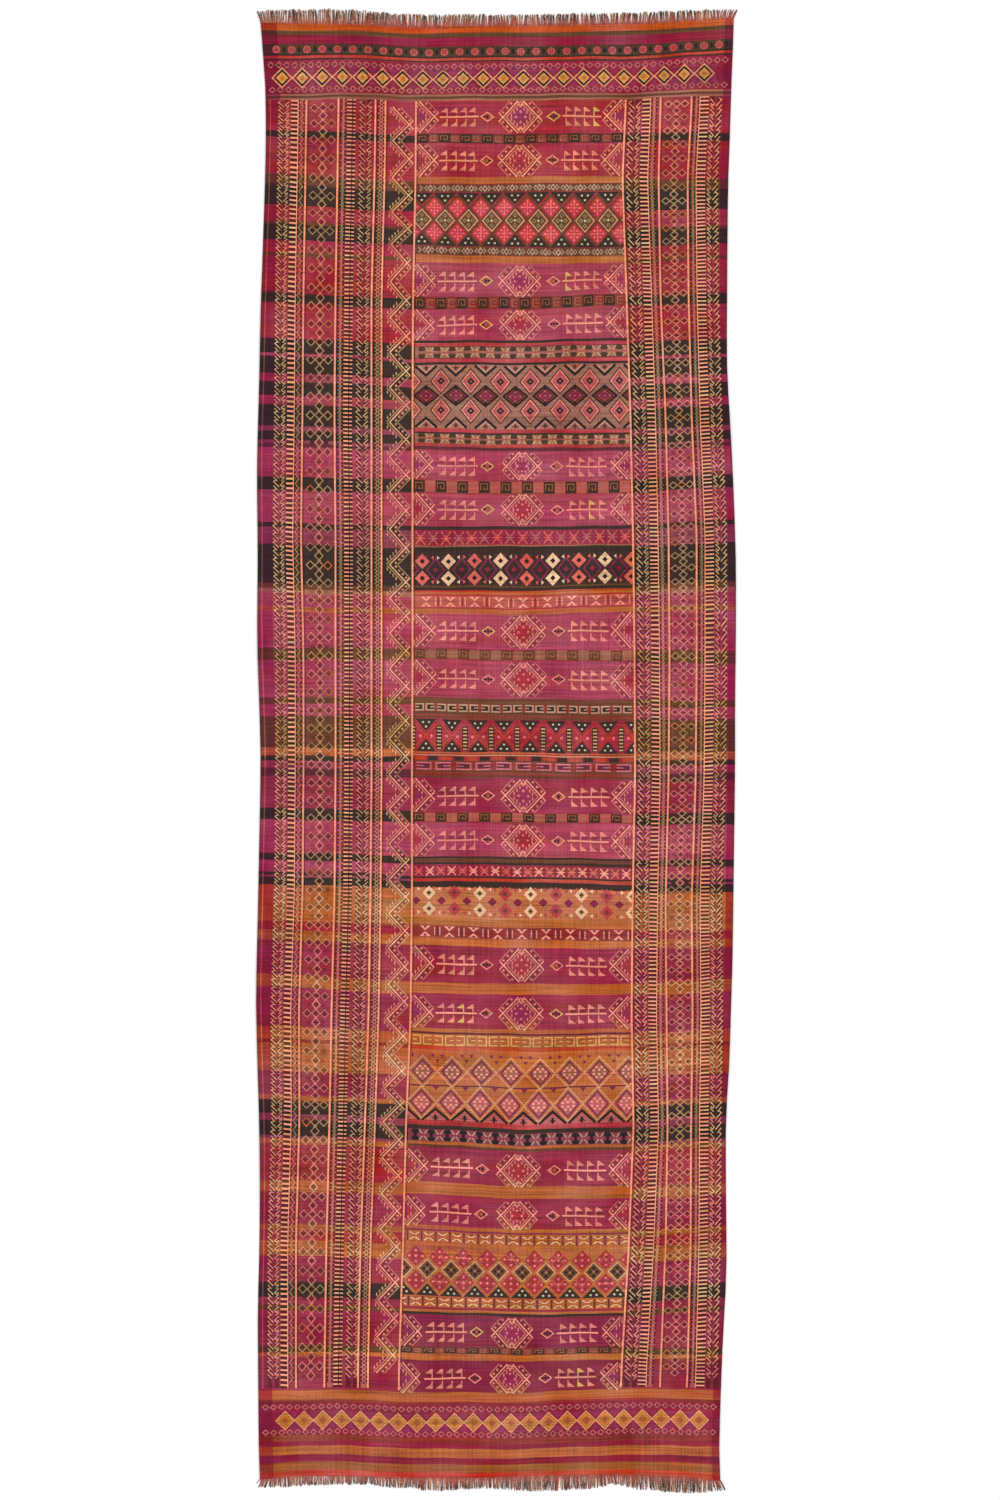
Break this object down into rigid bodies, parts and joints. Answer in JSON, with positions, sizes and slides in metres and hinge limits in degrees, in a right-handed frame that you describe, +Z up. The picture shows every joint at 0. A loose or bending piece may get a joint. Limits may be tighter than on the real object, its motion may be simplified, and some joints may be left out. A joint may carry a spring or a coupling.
{
  "type": "kilim runner",
  "caption": "Long flat-woven kilim runner in bands of geometric motifs, laid flat, with a short cut warp fringe at both ends.",
  "frame": {"origin": "middle of the bounding box, on the underside that lies on the floor", "axes": "+Z up from the floor, +Y along the length towards the end with the orange band, +X across the width"},
  "size_m": [1.214, 3.7128, 0.003],
  "materials": {
    "woven_wool": "matte",
    "warp_yarn": "matte"
  },
  "bodies": {
    "root": {"cloth": "woven_wool", "top_fringe": "warp_yarn", "bottom_fringe": "warp_yarn"}
  },
  "joints": []
}
